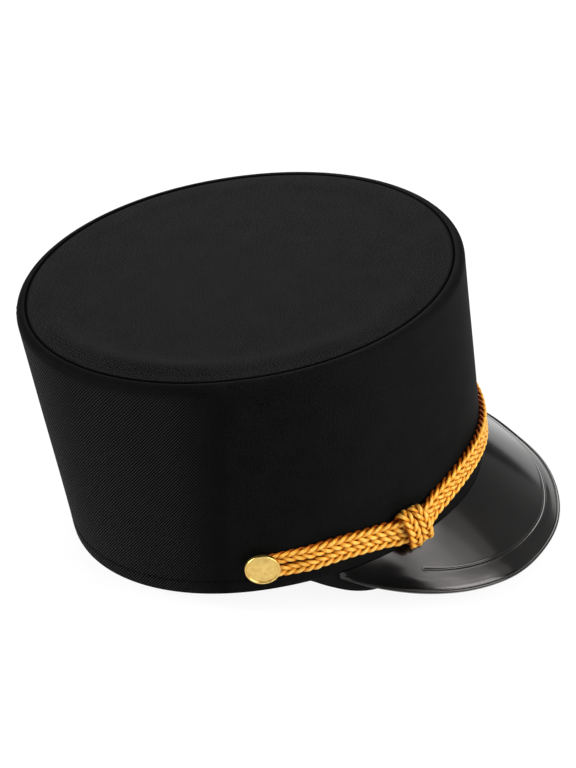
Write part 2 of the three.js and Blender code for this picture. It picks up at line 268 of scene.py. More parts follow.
class Bench:
    """Work on one new mesh at a time, with everything else deselected."""

    @staticmethod
    def adopt(name: str) -> Piece:
        """Name the mesh object that was just made.

        Args:
            name: Name of the piece.

        Returns:
            The piece.
        """
        piece = bpy.context.object
        piece.name = name
        piece.data.name = name
        return piece

    @classmethod
    def start(cls, name: str, primitive: Callable, **sizes: object) -> Piece:
        """Add a primitive.

        Args:
            name: Name of the piece.
            primitive: Operator that adds it.
            **sizes: The operator's settings.

        Returns:
            The piece.
        """
        bpy.ops.object.select_all(action="DESELECT")
        primitive(**sizes)
        return cls.adopt(name)

    @staticmethod
    def take(piece: Piece) -> None:
        """Select one piece alone and make it active.

        Args:
            piece: The piece to work on.
        """
        bpy.ops.object.select_all(action="DESELECT")
        bpy.context.view_layer.objects.active = piece
        piece.select_set(True)

    @classmethod
    def edit(cls, piece: Piece) -> None:
        """Open one piece in edit mode with all of it selected.

        Args:
            piece: The piece to open.
        """
        cls.take(piece)
        bpy.ops.object.mode_set(mode="EDIT")
        bpy.ops.mesh.select_all(action="SELECT")

    @staticmethod
    def close() -> None:
        """Go back to object mode with nothing selected."""
        bpy.ops.object.mode_set(mode="OBJECT")
        bpy.ops.object.select_all(action="DESELECT")

    @classmethod
    def ring(cls, name: str, places: Array) -> Piece:
        """Closed ring round the hat, laid out section by section.

        Args:
            name: Name of the piece.
            places: Points by station along the section and by step round the hat.

        Returns:
            The piece, whose vertex order is the section's within each step.
        """
        stations, around = places.shape[:2]
        torus = bpy.ops.mesh.primitive_torus_add
        piece = cls.start(name, torus, major_segments=around, minor_segments=stations)
        cls.lay(piece, places.transpose(1, 0, 2).reshape(-1, 3))
        return piece

    @classmethod
    def cap(cls, name: str, places: Array, first: Array, last: Array) -> tuple[Piece, Array]:
        """Closed round sheet, from the middle of its upper face to the middle of its lower one.

        Args:
            name: Name of the piece.
            places: Points by ring from the upper middle, and by step round the sheet.
            first: Upper middle point.
            last: Lower middle point.

        Returns:
            The piece, and the ring that each vertex lies on, counted from 0 at the upper middle.
        """
        rings, around = places.shape[:2]
        sphere = bpy.ops.mesh.primitive_uv_sphere_add
        piece = cls.start(name, sphere, segments=around, ring_count=rings + 1, radius=1.0)
        x, y, z = cls.points(piece).T
        row = np.rint(np.arccos(np.clip(z, -1, 1)) / math.pi * (rings + 1)).astype(int)
        column = np.rint(np.arctan2(y, x) / math.tau * around).astype(int) % around
        poles = np.stack([np.broadcast_to(p, (around, 3)) for p in (first, last)])
        every = np.concatenate([poles[:1], places, poles[1:]])
        cls.lay(piece, every[row, column])
        return piece, row

    @classmethod
    def sleeve(cls, name: str, places: Array) -> Piece:
        """Closed bar extruded from its first section to its last.

        Args:
            name: Name of the piece.
            places: Points by section along the bar and by step round the section.

        Returns:
            The piece.
        """
        rows, around = places.shape[:2]
        circle = bpy.ops.mesh.primitive_circle_add
        piece = cls.start(name, circle, vertices=around, radius=1.0, fill_type="NGON")
        cls.edit(piece)
        for _ in range(rows - 1):
            bpy.ops.mesh.extrude_region_move(TRANSFORM_OT_translate={"value": (0, 0, 1)})
        cls.close()
        x, y, z = cls.points(piece).T
        angle = np.arctan2(y, x) - math.atan2(y[0], x[0])
        column = np.rint(angle / math.tau * around).astype(int) % around
        cls.lay(piece, places[np.rint(z).astype(int), column])
        return piece

    @staticmethod
    def points(piece: Piece) -> Array:
        """Read a piece's vertices.

        Args:
            piece: The piece to read.

        Returns:
            One point for each vertex.
        """
        flat = np.empty(len(piece.data.vertices) * 3, np.float32)
        piece.data.vertices.foreach_get("co", flat)
        return flat.reshape(-1, 3).astype(float)

    @classmethod
    def lay(cls, piece: Piece, points: Array) -> None:
        """Move each vertex to its place and turn the closed mesh's faces outwards.

        Args:
            piece: The piece to lay out.
            points: One point for each vertex.
        """
        mesh = piece.data
        mesh.vertices.foreach_set("co", points.astype(np.float32).ravel())
        mesh.update()
        mesh.calc_loop_triangles()
        corners = np.empty(len(mesh.loop_triangles) * 3, np.int32)
        mesh.loop_triangles.foreach_get("vertices", corners)
        a, b, c = points[corners.reshape(-1, 3).T]
        if np.einsum("ij,ij->", a, np.cross(b, c)) < 0:
            cls.edit(piece)
            bpy.ops.mesh.flip_normals()
            cls.close()

    @staticmethod
    def chart(piece: Piece, spots: Array, turn: float) -> None:
        """Give a piece a UV map in metres of cloth.

        Args:
            piece: The piece to map.
            spots: U and V of each vertex.
            turn: Length of U right round the piece, where its first and last columns meet, or
                infinity for a flat piece.
        """
        mesh = piece.data
        corner = np.empty(len(mesh.loops), np.int32)
        mesh.loops.foreach_get("vertex_index", corner)
        start = np.empty(len(mesh.polygons), np.int32)
        mesh.polygons.foreach_get("loop_start", start)
        uv = spots[corner].copy()
        count = np.diff(np.append(start, len(corner)))
        far = np.repeat(np.maximum.reduceat(uv[:, 0], start), count)
        uv[:, 0] = np.where(far - uv[:, 0] > turn / 2, uv[:, 0] + turn, uv[:, 0])
        layer = mesh.uv_layers.active or mesh.uv_layers.new(name="UVMap")
        layer.data.foreach_set("uv", uv.astype(np.float32).ravel())

    @staticmethod
    def mark(piece: Piece, name: str, values: Array) -> None:
        """Give each vertex of a piece a named value."""
        attribute = piece.data.attributes.new(name, "FLOAT", "POINT")
        attribute.data.foreach_set("value", values.astype(np.float32).ravel())

    @classmethod
    def woven(cls, name: str, parts: Sequence["Strand"]) -> Piece:
        """One mesh of several strands, with their UV maps and how proud each point stands, for the painted
        highlight and shade.

        Args:
            name: Name of the piece.
            parts: The strands to put together.

        Returns:
            The piece.
        """
        shift = np.cumsum([0] + [len(part.points) for part in parts])
        quads = np.concatenate([part.quads + s for part, s in zip(parts, shift)])
        points = np.concatenate([part.points for part in parts])
        mesh = bpy.data.meshes.new(name)
        ends = [[int(k + s) for k in end] for part, s in zip(parts, shift) for end in part.ends]
        mesh.from_pydata(points.tolist(), [], quads.tolist() + ends)
        piece = bpy.data.objects.new(name, mesh)
        cls.mark(piece, "crest_light", np.concatenate([part.crest_light for part in parts]))
        bpy.context.scene.collection.objects.link(piece)
        cls.lay(piece, points)
        cls.chart(piece, np.concatenate([part.spots for part in parts])[:, ::-1], parts[0].girth)
        return piece


class Board:
    """Node tree of one finish, round its Principled shader."""

    def __init__(self, name: str, **sockets: float | tuple) -> None:
        """Start a material.

        Args:
            name: Name of the material.
            **sockets: Plain values of the shader's sockets, named with _ for a space.
        """
        self.material = bpy.data.materials.new(name)
        self.material.use_nodes = True
        self.tree = self.material.node_tree
        self.shader = self.tree.nodes["Principled BSDF"]
        for key, value in sockets.items():
            self.shader.inputs[key.replace("_", " ")].default_value = value

    def add(self, kind: str, inputs: dict | None = None, **settings: object) -> bpy.types.Node:
        """Add a node.

        Args:
            kind: Node type without its ShaderNode prefix.
            inputs: Values or output sockets by input name or index.
            **settings: Node properties.

        Returns:
            The node.
        """
        node = self.tree.nodes.new("ShaderNode" + kind)
        for key, value in settings.items():
            setattr(node, key, value)
        for key, value in (inputs or {}).items():
            if isinstance(value, Socket):
                self.tree.links.new(value, node.inputs[key])
            else:
                node.inputs[key].default_value = value
        return node

    def coords(self, kind: str) -> Socket:
        """Texture coordinates of a kind."""
        return self.add("TexCoord").outputs[kind]

    def turned(self, place: Socket, angle: float) -> Socket:
        """Coordinates turned about Z."""
        return self.add("Mapping", {"Vector": place, "Rotation": (0, 0, angle)}).outputs["Vector"]

    def carried(self, name: str) -> Socket:
        """Named value that the piece's vertices carry."""
        return self.add("Attribute", attribute_name=name).outputs["Fac"]

    def noise(self, place: Socket, scale: float, detail: float, roughness: float = 0.5) -> Socket:
        """Cloudy noise by place."""
        inputs = {"Vector": place, "Scale": scale, "Detail": detail, "Roughness": roughness}
        return self.add("TexNoise", inputs).outputs["Fac"]

    def ribs(self, place: Socket, pitch: float, wander: float, detail: float, fine: float = 1.0) -> Socket:
        """Parallel ribs across the first coordinate, which wander a little."""
        form = {"Scale": WAVE_PERIOD / pitch, "Distortion": wander, "Detail": detail, "Detail Scale": fine}
        return self.add("TexWave", {"Vector": place, **form}, bands_direction="X").outputs["Fac"]

    def bump(self, height: Socket, strength: float, distance: float) -> Socket:
        """Normals of a fine relief."""
        inputs = {"Height": height, "Strength": strength, "Distance": distance}
        return self.add("Bump", inputs).outputs["Normal"]

    def ramp(self, value: Socket, stops: Sequence[tuple[float, Triple]]) -> Socket:
        """Colours by value.

        Args:
            value: Where to read the ramp.
            stops: Positions and colours.

        Returns:
            The colour.
        """
        node = self.add("ValToRGB", {"Fac": value})
        steps = node.color_ramp.elements
        while len(steps) < len(stops):
            steps.new(1.0)
        for step, (position, colour) in zip(steps, stops):
            step.position = position
            step.color = (*colour, 1.0)
        return node.outputs["Color"]

    def scale(self, value: Socket, by: float | Socket) -> Socket:
        """Value times a number or another value."""
        return self.add("Math", {0: value, 1: by}, operation="MULTIPLY").outputs["Value"]

    def sum(self, first: Socket, second: Socket, share: float) -> Socket:
        """First value plus a share of the second."""
        node = self.add("Math", {0: second, 1: share, 2: first}, operation="MULTIPLY_ADD")
        return node.outputs["Value"]

    def spread(self, value: Socket, low: float, high: float, start: float = 0.0, end: float = 1.0) -> Socket:
        """Value between start and end brought to the range from low to high."""
        spans = {"From Min": start, "From Max": end, "To Min": low, "To Max": high}
        return self.add("MapRange", {"Value": value, **spans}).outputs["Result"]

    def feed(self, **sockets: Socket) -> Material:
        """Link values to the shader.

        Args:
            **sockets: Values by the shader's socket, named with _ for a space.

        Returns:
            The material.
        """
        for key, value in sockets.items():
            self.tree.links.new(value, self.shader.inputs[key.replace("_", " ")])
        return self.material


@dataclass(frozen=True)
class Twill:
    """Black wool twill: diagonal wales of twisted yarn with a little fuzz."""

    name: str
    dark: Triple
    light: Triple
    wale: float = 1.08 * MM
    yarn: float = 0.5 * MM
    yarn_share: float = 0.22
    turn: float = math.radians(45)
    relief: float = 0.36 * MM
    weave: Span = (-1.0, 0.4)
    fuzz: float = 0.3
    contrast: float = 1.2
    fleck: float = 0.22
    middle: float = 0.3575
    span: float = 0.52
    grain: float = 950.0
    mottle: float = 0.25
    painted_shade_and_sheen_share: float = -0.5
    rough: Span = (0.5, 0.75)

    def material(self) -> Material:
        """Build the cloth's nodes, which read the nap value of the piece, for its wales and their painted
        raking light, and its seam value of painted shade and painted sheen.

        Returns:
            The material.
        """
        board = Board(self.name, Specular_IOR_Level=0.015)
        place = board.coords("UV")
        wales = board.ribs(board.turned(place, self.turn), self.wale, wander=0.7, detail=2.0, fine=1.3)
        yarns = board.ribs(place, self.yarn, wander=1.6, detail=1.0, fine=0.8)
        fibres = board.noise(place, self.grain, detail=3.0, roughness=0.7)
        mottle = board.noise(place, scale=70.0, detail=4.0, roughness=0.6)
        ribbed = board.sum(wales, yarns, self.yarn_share)
        weave = board.spread(ribbed, *self.weave, end=1 + self.yarn_share)
        woven = board.scale(weave, board.carried("nap"))
        ground = board.scale(board.sum(fibres, mottle, self.mottle), self.fleck)
        # Painted light: the weave's stripes go into the colour as well as the relief, partly the wales' own
        # pattern and partly painted raking light on them.
        cloth = board.sum(ground, woven, self.contrast)
        # Painted shade and painted sheen: the seam value darkens the cloth in the seam's groove and lightens
        # the front of the wall.
        tone = board.sum(cloth, board.carried("seam"), self.painted_shade_and_sheen_share)
        low, high = self.middle - self.span / 2, self.middle + self.span / 2
        shade = board.spread(tone, 0.0, 1.0, start=low, end=high)
        return board.feed(
            Base_Color=board.ramp(shade, ((0.0, self.dark), (1.0, self.light))),
            Roughness=board.spread(fibres, *self.rough),
            Normal=board.bump(board.sum(woven, fibres, self.fuzz), strength=1.0, distance=self.relief),
        )


@dataclass(frozen=True)
class BandLeather:
    """Matt black sweatband with a fine grain."""

    name: str = "sweatband_leather"
    dark: Triple = (0.0010, 0.0010, 0.0010)
    light: Triple = (0.0040, 0.0039, 0.0037)
    cloud_share: float = 0.5
    rough: Span = (0.6, 0.85)

    def material(self) -> Material:
        """Build the leather's nodes.

        Returns:
            The material.
        """
        board = Board(self.name, Specular_IOR_Level=0.06)
        place = board.coords("Object")
        grain = board.add("TexVoronoi", {"Vector": place, "Scale": 900.0}).outputs["Distance"]
        cloudy = board.noise(place, scale=60.0, detail=5.0)
        tone = board.sum(grain, cloudy, self.cloud_share)
        return board.feed(
            Base_Color=board.ramp(tone, ((0.1, self.dark), (0.9, self.light))),
            Roughness=board.spread(cloudy, *self.rough),
            Normal=board.bump(grain, strength=0.7, distance=0.12 * MM),
        )


@dataclass(frozen=True)
class VisorGloss:
    """Polished black plastic with a faint mould ripple and a slight haze."""

    name: str = "visor_gloss"
    dark: Triple = (0.0012, 0.0011, 0.0011)
    light: Triple = (0.0030, 0.0028, 0.0026)
    ripple_share: float = 0.5
    rough: Span = (0.13, 0.19)

    def material(self) -> Material:
        """Build the plastic's nodes.

        Returns:
            The material.
        """
        board = Board(self.name, Specular_IOR_Level=0.5, Specular_Tint=(1.0, 0.955, 0.93, 1.0))
        place = board.coords("Object")
        ripple = board.noise(place, scale=38.0, detail=1.0)
        haze = board.noise(place, scale=700.0, detail=4.0)
        dulled = board.sum(haze, ripple, self.ripple_share)
        return board.feed(
            Base_Color=board.ramp(ripple, ((0.3, self.dark), (0.7, self.light))),
            Roughness=board.spread(dulled, *self.rough, start=0.4, end=1.1),
            Normal=board.bump(ripple, strength=0.35, distance=0.2 * MM),
        )


@dataclass(frozen=True)
class GoldThread:
    """Gold-coloured plaiting thread, with a painted highlight on the strands' crests and painted shade in
    deep orange between the strands.
    """

    name: str = "gold_thread"
    crevice_shade: Triple = (0.30, 0.06, 0.003)
    body: Triple = (0.82, 0.34, 0.028)
    crest_light: Triple = (0.96, 0.58, 0.13)
    yarn: float = 0.42 * MM
    lean: float = math.radians(24)
    tint_share: float = 0.2
    yarn_share: float = 0.08
    rough: Span = (0.32, 0.5)

    def material(self) -> Material:
        """Build the thread's nodes, which read how proud each point of the piece stands, for the painted
        highlight and shade.

        Returns:
            The material.
        """
        board = Board(self.name, Metallic=0.3, Specular_IOR_Level=0.12)
        place = board.coords("UV")
        yarns = board.ribs(board.turned(place, self.lean), self.yarn, wander=1.2, detail=2.0)
        tint = board.noise(place, scale=260.0, detail=3.0)
        tinted = board.sum(board.carried("crest_light"), tint, self.tint_share)
        tone = board.sum(tinted, yarns, self.yarn_share)
        # Painted shade between the strands, the thread's own colour in the body, and a painted highlight on
        # the crests.
        stops = ((0.0, self.crevice_shade), (0.62, self.body), (1.0, self.crest_light))
        return board.feed(
            Base_Color=board.ramp(board.spread(tone, 0.0, 1.0, start=0.72, end=1.16), stops),
            Roughness=board.spread(yarns, *self.rough),
            Normal=board.bump(yarns, strength=0.8, distance=0.07 * MM),
        )


@dataclass(frozen=True)
class GiltBrass:
    """Satin gilt brass with a soft handling wear."""

    name: str = "gilt_brass"
    worn: Triple = (0.68, 0.44, 0.115)
    bright: Triple = (0.84, 0.60, 0.20)
    rough: Span = (0.24, 0.42)

    def material(self) -> Material:
        """Build the metal's nodes.

        Returns:
            The material.
        """
        board = Board(self.name, Metallic=1.0)
        place = board.coords("Object")
        cloudy = board.noise(place, scale=420.0, detail=5.0)
        dimples = board.noise(place, scale=1900.0, detail=2.0)
        return board.feed(
            Base_Color=board.ramp(cloudy, ((0.3, self.worn), (0.7, self.bright))),
            Roughness=board.spread(cloudy, *self.rough),
            Normal=board.bump(dimples, strength=0.5, distance=0.05 * MM),
        )


def dress(piece: Piece, material: Material, slot: Slot, *nodes: str) -> None:
    """Finish a piece and tie it to the part.

    Args:
        piece: The finished mesh.
        material: Its finish.
        slot: Record slot that the finish belongs to; not used.
        *nodes: Solids that the piece stands for.
    """
    Bench.take(piece)
    bpy.ops.object.shade_smooth_by_angle(angle=SMOOTH_ANGLE)
    piece.select_set(False)
    piece.data.materials.clear()
    piece.data.materials.append(material)
    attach(piece, "root")
    if nodes:
        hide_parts(*nodes)
    LOG.info("%s: %d vertices", piece.name, len(piece.data.vertices))


@dataclass(frozen=True)
class NapAndPaintedSheen:
    """How strong the wall's wales are and how much painted sheen it has: the wales, whose colour stripes are
    partly painted raking light, are strongest towards the back, and a painted sheen lightens the cloth
    towards the front.
    """

    least: float = 0.02
    rise: Span = (34 * MM, 68 * MM)
    fade: Span = (92 * MM, 112 * MM)
    fade_share: float = 0.5
    edge: float = 9 * MM
    edge_least: float = 0.15
    # Painted sheen: a lighter band of colour towards the front of the wall, where the light falls on it.
    front_sheen: Ridge = Ridge(-50 * MM, 45 * MM, 0.055)
    sheen_least: float = 0.025

    def wales(self, y: Array, below: Array) -> Array:
        """Strength of the wales' relief and of their colour stripes, which are partly painted raking light.

        Args:
            y: Places along Y.
            below: Distances below the top edge.

        Returns:
            Strength from 0 to 1.
        """
        back = self.least + (1 - self.least) * ease(y, *self.rise)
        back *= 1 - self.fade_share * ease(y, *self.fade)
        return (self.edge_least + (1 - self.edge_least) * ease(below, 0, self.edge)) * back

    def painted_sheen(self, y: Array) -> Array:
        """How much painted sheen lightens the cloth, by place along Y."""
        return self.sheen_least + self.front_sheen.at(y)


@dataclass
class Crown:
    """Cloth crown: side wall with a stitched hem and back seam, and a top panel.

    Its rows, ridges and ripples, and the panel's span, slack and edge roll, are in millimetres, and
    angles are in radians from the front. A row of the lip is a drop and an inset. A row of the
    panel's edge is a share out from its middle and a drop.
    """

    around: int = 256
    crowding: float = 0.6
    wall_rows: int = 62
    hem_rows: int = 8
    shoulder_rows: int = 9
    inner_shares: Row = (0.5, 0.36, 0.22, 0.1)
    inner_heights: Span = (6.0, 3.0)
    foot_heights: Row = (
        1.2, 2, 3, 4, 5, 6, 6.6, 7.1, 7.5, 7.8, 8.1, 8.4, 8.8, 9.3, 10, 11, 12.5,
    )
    lip: Rows = (
        (0.05, 4.5), (0.25, 4.8), (0.7, 5.0), (1.4, 5.08), (2.4, 5.0), (3.0, 4.4), (3.5, 3.4), (4.6, 2.5),
    )
    # Painted shade: insets over which the lip is darkened where it turns into the seam's groove.
    painted_lip_shade: Span = (4.5 * MM, 5.0 * MM)
    upper_shares: Triple = (0.92, 0.78, 0.64)
    chart_height: float = 60 * MM
    hem: float = 1.2 * MM
    hem_roll: Ridge = Ridge(4.0, 2.6, 0.14)
    stitch_pull: Ridge = Ridge(8.0, 0.75, -0.30)
    seam_lap: Ridge = Ridge(2.0, 1.1, 0.16)
    seam_dip: Ridge = Ridge(0.0, 0.8, -0.55)
    sways: tuple[Ripple, ...] = (Ripple(0.14, 3, phase=0.4), Ripple(0.10, 7, slant=0.045))
    stitch_height: float = 8 * MM
    stitch_pitch: float = 3.1 * MM
    stitch_size: Triple = (2.3 * MM, 0.62 * MM, 0.5 * MM)
    stitch_sunk: float = 0.16 * MM
    stitch_segments: int = 8
    stitch_rings: int = 6
    stitch_samples: int = 4001
    panel_around: int = 240
    panel_rings: int = 41
    panel_crowding: float = 1.5
    panel_thickness: float = 2 * MM
    panel_edge: Rows = ((1.0, 0.5), (0.9995, 1.1), (0.9995, 1.7), (1.0, 2.2))
    panel_allowance: Rows = (
        (1.0072, 2.8), (1.0082, 3.1), (1.0072, 3.4), (0.997, 3.3), (0.982, 2.5),
    )
    under_shares: Row = (0.96, 0.9, 0.8, 0.65, 0.45, 0.2)
    half_span: float = 98.0
    dome: float = 2.2 * MM
    slack: float = 0.45
    slack_side: Ridge = Ridge(math.radians(-80), 1.0, 0.45)
    pucker: Ridge = Ridge(math.radians(-127), 0.45, 2.4)
    puckers: tuple[Ripple, ...] = (Ripple(0.12, 9), Ripple(0.08, 17, phase=1.0))
    puffed: Ridge = Ridge(10.5, 6.5, 1.0)
    edge_roll: Span = (0.4, 1.2)
    # Painted shade: the panel's edge is darkened where it goes down into the seam's groove.
    painted_panel_seam_shade: Ridge = Ridge(0.0, 0.35, 1.0)
    panel_nap: float = 0.3
    panel_nap_rise: Span = (0.5, 6.0)
    nap: NapAndPaintedSheen = NapAndPaintedSheen()
    twill: Twill = Twill("crown_twill", (0.0006, 0.0006, 0.0006), (0.0360, 0.0357, 0.0351))
    panel_twill: Twill = Twill(
        "panel_twill", (0.0004, 0.0004, 0.0004), (0.0185, 0.0183, 0.0180),
        wale=1.1 * MM, yarn=0.6 * MM, relief=0.2 * MM, fuzz=0.45,
        contrast=0.12, fleck=1.0, middle=0.54, span=0.09, grain=1800.0, mottle=0.06,
    )
    thread: Twill = Twill(
        "hem_thread", (0.0015, 0.0015, 0.0015), (0.0060, 0.0060, 0.0060),
        wale=0.3 * MM, yarn=0.2 * MM, relief=0.05 * MM,
    )

    def section(self) -> Array:
        """Section of the side wall.

        Returns:
            Rows of share of the crown's height, height added to that, inset from the outer cloth,
            and share of the outer cloth's relief, round from the middle of the inner face.
        """
        wall, hem, shoulder = FORM.wall, self.hem, FORM.shoulder
        rows = [(share, 0.0, wall, 0.0) for share in self.inner_shares]
        rows += [(0.0, high * MM, wall, 0.0) for high in self.inner_heights]
        for turn in np.linspace(0, math.pi, self.hem_rows)[1:-1]:
            rows.append((0.0, hem * (1 - math.sin(turn)), hem * (1 + math.cos(turn)), 0.0))
        rows += [(0.0, high * MM, 0.0, 1.0) for high in self.foot_heights]
        low, high = self.foot_heights[-1] * MM, -shoulder
        for share in np.linspace(0, 1, self.wall_rows)[1:]:
            rows.append((share, low * (1 - share) + high * share, 0.0, 1.0))
        for turn in np.linspace(0, math.pi / 2, self.shoulder_rows)[1:]:
            spot = (1.0, -shoulder * (1 - math.sin(turn)), shoulder * (1 - math.cos(turn)))
            rows.append((*spot, math.cos(turn)))
        rows += [(1.0, -drop * MM, inset * MM, 0.0) for drop, inset in self.lip]
        rows += [(share, 0.0, wall, 0.0) for share in self.upper_shares]
        return np.array(rows)

    def relief(self, angles: Array, heights: Array) -> Array:
        """How far the outer cloth stands proud of its block.

        Args:
            angles: Angles from the front.
            heights: Heights over the rim.

        Returns:
            Distances in metres.
        """
        high = heights / MM
        hem = self.hem_roll.at(high) + self.stitch_pull.at(high)
        from_seam = np.abs(math.pi - np.abs(angles)) * FORM.rim.half_length / MM
        seam = self.seam_lap.at(from_seam) + self.seam_dip.at(from_seam)
        body = np.sin(math.pi * np.clip(heights / FORM.height, 0, 1))
        sway = sum(ripple.at(angles, high) for ripple in self.sways)
        return (hem + seam + body * sway) * MM

    def side(self) -> None:
        """Side wall of cloth over a stiffener, its columns closer together towards the back."""
        t = np.linspace(-1, 1, self.around, endpoint=False)
        angles = math.pi * t + self.crowding * np.sin(math.pi * t)
        share, add, inset, proud = self.section().T[..., None]
        heights = share * FORM.heights(angles) + add
        insets = inset - proud * self.relief(angles, heights)
        places = STANCE.press(FORM.on_wall(angles, heights, insets))
        piece = Bench.ring("crown_cloth", places)
        girth = lengths(FORM.on_wall(np.append(angles, angles[0]), self.chart_height, 0.0))
        profile = np.concatenate([share * FORM.height + add, inset], axis=1)
        spots = np.stack(np.broadcast_arrays(girth[:-1, None], lengths(profile)), axis=-1)
        Bench.chart(piece, spots.reshape(-1, 2), girth[-1])
        y = places[..., 1]
        # Nap value: strength of the wales' relief and of their painted raking light in the colour, strongest
        # towards the back.
        Bench.mark(piece, "nap", self.nap.wales(y, FORM.heights(angles) - heights).T)
        # Seam value: painted shade on the lip in the seam's groove, less the painted sheen towards the
        # front.
        Bench.mark(piece, "seam", (ease(inset, *self.painted_lip_shade) - self.nap.painted_sheen(y)).T)
        dress(piece, self.twill.material(), Slot.TWILL, "crown_side")

    def inside(self, share: Array) -> Array:
        """Distance in from the panel's seam, by share out from its middle."""
        return np.maximum(1 - share, 0.0) * self.half_span

    def surface(self, angles: Array, share: Array, y: Array) -> Array:
        """Height of the panel's upper face over the rim.

        Args:
            angles: Angles from the front.
            share: Shares out from the panel's middle.
            y: Places along Y of the level hat.

        Returns:
            Heights in metres.
        """
        inside = self.inside(share)
        slack = self.slack + self.slack_side.at(angles) + self.pucker.at(angles)
        puff = slack + sum(ripple.at(angles) for ripple in self.puckers)
        depth, reach = self.edge_roll
        soft = puff * self.puffed.at(inside) - depth * np.exp(-inside / reach)
        return FORM.level(y) + self.dome * (1 - share**2) + soft * MM

    def panel(self) -> None:
        """Top panel, puffed a little inside its seam and puckered towards the back.

        Its edge turns down to a seam allowance that is tucked under the wall's lip.
        """
        angles = np.linspace(-math.pi, math.pi, self.panel_around, endpoint=False)
        steps = np.linspace(0, 1, self.panel_rings + 1)[1:]
        rows = [(1 - (1 - step) ** self.panel_crowding, 0.0) for step in steps]
        rows += [*self.panel_edge, *self.panel_allowance]
        rows += [(share, self.panel_thickness / MM) for share in self.under_shares]
        share, lower = np.array(rows).T[..., None]
        rim = FORM.on_wall(angles, FORM.heights(angles), FORM.turn_in + GAP)
        x = rim[:, 0] * share
        y = -FORM.top.forward * (1 - share) + rim[:, 1] * share
        places = np.stack([x, y, self.surface(angles, share, y) - lower * MM], axis=-1)
        centre = np.array([0.0, -FORM.top.forward, FORM.height + self.dome])
        ends = [STANCE.stand(centre - (0, 0, drop)) for drop in (0.0, self.panel_thickness)]
        piece, ring = Bench.cap("crown_panel", STANCE.stand(places), *ends)
        flat = Bench.points(piece)[:, :2]
        Bench.chart(piece, flat, turn=math.inf)
        inside = self.inside(np.concatenate([[0.0], share[:, 0], [0.0]]))[ring]
        # Seam value: painted shade along the panel's edge at the seam.
        Bench.mark(piece, "seam", self.painted_panel_seam_shade.at(inside))
        Bench.mark(piece, "nap", self.panel_nap * ease(inside, *self.panel_nap_rise))
        dress(piece, self.panel_twill.material(), Slot.PANEL, "crown_top")

    def stitches(self) -> None:
        """Row of hem stitches, one modelled and copied round the foot of the wall."""
        sphere = bpy.ops.mesh.primitive_uv_sphere_add
        form = {"segments": self.stitch_segments, "ring_count": self.stitch_rings, "radius": 0.5}
        stitch = Bench.start("hem_stitches", sphere, **form)
        Bench.edit(stitch)
        bpy.ops.transform.rotate(value=math.pi / 2, orient_axis="Y", center_override=(0, 0, 0))
        bpy.ops.transform.resize(value=self.stitch_size, center_override=(0, 0, 0))
        Bench.close()
        height, sunk = self.stitch_height, self.stitch_sunk
        fine = np.linspace(-math.pi, math.pi, self.stitch_samples)
        run = lengths(FORM.on_wall(fine, height, sunk))
        count = round(run[-1] / self.stitch_pitch)
        angles = np.interp((np.arange(count) + 0.5) / count * run[-1], run, fine)
        spots = FORM.on_wall(angles, height, sunk)
        ahead = unit(FORM.on_wall(angles + STEP, height, sunk) - spots)
        out = unit(FORM.on_wall(angles, height, -1 * MM) - spots)
        frames = np.stack([ahead, np.cross(out, ahead), out], axis=1)
        points = STANCE.press(spots[:, None] + np.einsum("vk,nkx->nvx", Bench.points(stitch), frames))
        copies = []
        for place in points:
            copy = stitch.copy()
            copy.data = stitch.data.copy()
            bpy.context.scene.collection.objects.link(copy)
            copy.data.vertices.foreach_set("co", place.astype(np.float32).ravel())
            copies.append(copy)
        bpy.data.objects.remove(stitch)
        bpy.context.view_layer.objects.active = copies[0]
        for copy in copies:
            copy.select_set(True)
        bpy.ops.object.join()
        dress(Bench.adopt("hem_stitches"), self.thread.material(), Slot.TWILL)


@dataclass
class Sweatband:
    """Thin band lining the foot of the crown, hanging low behind the visor.

    A row of its edge is degrees from the front and the height of its lower edge in millimetres.
    """

    around: int = 240
    rows: int = 18
    row_span: Span = (0.02, 0.98)
    edge_rows: int = 6
    thickness: float = 1 * MM
    height: float = 34 * MM
    edge: Table = Table((
        (0, -21), (40, -21.5), (60, -22), (67, -20.5), (73, -16), (79.5, -8), (85, -0.5), (92, 2), (180, 2),
    ))
    seam: Ridge = Ridge(0.9, 0.02, 0.2 * MM)
    leather: BandLeather = BandLeather()

    def build(self) -> None:
        """Lay the band round the inside of the wall with rounded edges."""
        angles = np.linspace(-math.pi, math.pi, self.around, endpoint=False)
        low = self.edge.at(np.degrees(np.abs(angles))) * MM
        half = self.thickness / 2
        shares = np.linspace(*self.row_span, self.rows)
        turns = np.linspace(0, math.pi, self.edge_rows)
        rows = [(share, 0.0, 0.0) for share in shares]
        rows += [(1.0, -half * (1 - math.sin(t)), half * (1 - math.cos(t))) for t in turns]
        rows += [(share, 0.0, self.thickness) for share in shares[::-1]]
        rows += [(0.0, half * (1 - math.sin(t)), half * (1 + math.cos(t))) for t in turns]
        share, add, inset = np.array(rows).T[..., None]
        stitched = self.seam.at(share) * (inset > half)
        outer = FORM.wall + GAP
        places = on_hat(angles, low + share * self.height + add, outer + inset - stitched)
        piece = Bench.ring("sweatband_lining", places)
        dress(piece, self.leather.material(), Slot.BAND, "sweatband")


